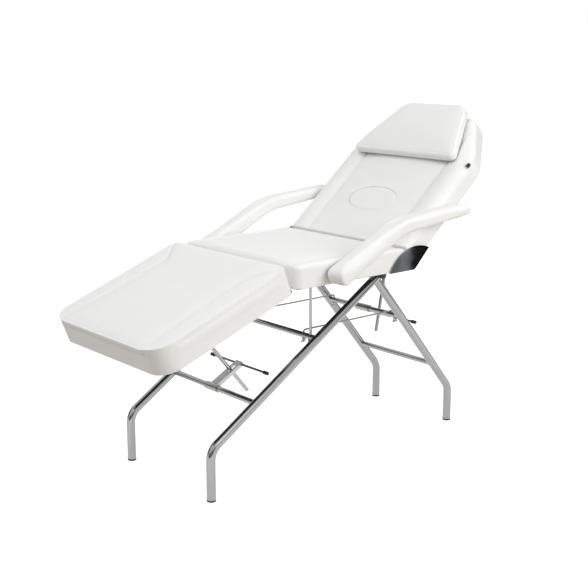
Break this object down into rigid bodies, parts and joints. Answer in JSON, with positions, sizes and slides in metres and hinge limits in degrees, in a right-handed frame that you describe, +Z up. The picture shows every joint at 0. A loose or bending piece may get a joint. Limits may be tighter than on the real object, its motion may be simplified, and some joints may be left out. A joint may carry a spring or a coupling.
{
  "type": "beauty treatment chair",
  "caption": "Reclining salon treatment chair: padded seat, backrest, leg rest, armrests and head pillow on crossed chrome tube legs, with lever-locked struts.",
  "frame": {"origin": "on the floor, under the middle of the chair's length and width", "axes": "+X to the sitter's left, +Y from the foot end to the head end, +Z up; metres"},
  "size_m": [0.788, 1.567, 1.1988],
  "materials": {
    "white_vinyl": "satin",
    "chrome_steel": "polished",
    "nickel_steel": "satin",
    "plywood": "satin",
    "black_plastic": "satin",
    "zinc_steel": "satin",
    "grey_steel": "satin",
    "grip_fabric": "matte",
    "black_tag": "matte"
  },
  "bodies": {
    "frame": {"front_leg_left": "chrome_steel", "front_leg_right": "chrome_steel", "rear_leg_left": "chrome_steel", "rear_leg_right": "chrome_steel", "foot_caps": "black_plastic", "front_lower_crossbar": "chrome_steel", "front_upper_crossbar": "chrome_steel", "rear_lower_crossbar": "chrome_steel", "rear_upper_crossbar": "chrome_steel", "apex_bracket_left": "chrome_steel", "apex_bracket_right": "chrome_steel", "apex_bolts": "zinc_steel", "apex_bolt_covers": "black_plastic", "apex_nuts": "zinc_steel", "tie_rod_left": "chrome_steel", "tie_rod_right": "chrome_steel", "tie_rod_wing_nuts": "nickel_steel", "seat_stay_left": "chrome_steel", "seat_stay_right": "chrome_steel", "seat_stay_wing_nuts": "nickel_steel", "seat_board": "plywood", "seat_cushion": "white_vinyl", "side_rail_left": "zinc_steel", "side_rail_right": "zinc_steel", "hinge_plate_left": "chrome_steel", "hinge_plate_right": "chrome_steel", "hinge_plate_screws": "chrome_steel", "back_hinge_pins": "zinc_steel", "leg_hinge_seat_leaves": "zinc_steel", "leg_hinge_pins": "zinc_steel", "armrest_pivot_bolts": "zinc_steel"},
    "backrest": {"back_board": "plywood", "back_cushion": "white_vinyl", "back_hinge_arm_left": "chrome_steel", "back_hinge_arm_right": "chrome_steel", "back_strut_bracket": "zinc_steel", "back_strut_pin": "zinc_steel", "tag": "black_tag"},
    "back_strut": {"back_strut": "zinc_steel"},
    "back_lever": {"back_lock_arm": "grey_steel", "back_lock_handle": "nickel_steel", "back_lock_sleeve": "nickel_steel", "back_lock_tips": "black_plastic"},
    "leg_rest": {"leg_board": "plywood", "leg_cushion": "white_vinyl", "leg_hinge_rest_leaves": "zinc_steel", "leg_strut_bracket": "zinc_steel", "leg_strut_pin": "zinc_steel"},
    "leg_strut": {"leg_strut": "zinc_steel"},
    "leg_lever": {"leg_lock_arm": "grey_steel", "leg_lock_handle": "nickel_steel", "leg_lock_sleeve": "nickel_steel", "leg_lock_tips": "black_plastic"},
    "armrest_left": {"armrest_left": "white_vinyl"},
    "armrest_right": {"armrest_right": "white_vinyl"},
    "pillow": {"head_pillow": "white_vinyl", "pillow_grip_strip": "grip_fabric"},
    "face_plug": {"face_hole_plug": "white_vinyl"}
  },
  "joints": [
    {"name": "backrest_recline", "type": "hinge", "parent": "frame", "child": "backrest", "pos_m": [0, 0.25632, 0.7], "axis": [1, 0, 0], "range_deg": [-40.6, 16]},
    {"name": "back_strut_swing", "type": "hinge", "parent": "backrest", "child": "back_strut", "pos_m": [0, 0.5084, 0.83308], "axis": [1, 0, 0], "range_deg": [-11, 26]},
    {"name": "back_lever_lift", "type": "hinge", "parent": "frame", "child": "back_lever", "pos_m": [0, 0.34893, 0.454], "axis": [1, 0, 0], "range_deg": [0, 11]},
    {"name": "legrest_tilt", "type": "hinge", "parent": "frame", "child": "leg_rest", "pos_m": [0, -0.24968, 0.65], "axis": [1, 0, 0], "range_deg": [-20.7, 27]},
    {"name": "leg_strut_swing", "type": "hinge", "parent": "leg_rest", "child": "leg_strut", "pos_m": [0, -0.4635, 0.55103], "axis": [1, 0, 0], "range_deg": [-23, 18]},
    {"name": "leg_lever_lift", "type": "hinge", "parent": "frame", "child": "leg_lever", "pos_m": [0, -0.35774, 0.2862], "axis": [1, 0, 0], "range_deg": [0, 11]},
    {"name": "armrest_left_swing", "type": "hinge", "parent": "frame", "child": "armrest_left", "pos_m": [0.355, -0.10168, 0.694], "axis": [1, 0, 0], "range_deg": [-18, 35]},
    {"name": "armrest_right_swing", "type": "hinge", "parent": "frame", "child": "armrest_right", "pos_m": [-0.355, -0.10168, 0.694], "axis": [1, 0, 0], "range_deg": [-18, 35]},
    {"name": "pillow_lift", "type": "slide", "parent": "backrest", "child": "pillow", "axis": [0, -0.6508, 0.7593], "range_m": [0, 0.08]},
    {"name": "face_plug_lift", "type": "slide", "parent": "backrest", "child": "face_plug", "axis": [0, -0.6508, 0.7593], "range_m": [0, 0.09]}
  ],
  "couplings": [
    {"joint": "back_strut_swing", "follows": "backrest_recline", "ratio": -0.604},
    {"joint": "leg_strut_swing", "follows": "legrest_tilt", "ratio": -0.826}
  ]
}
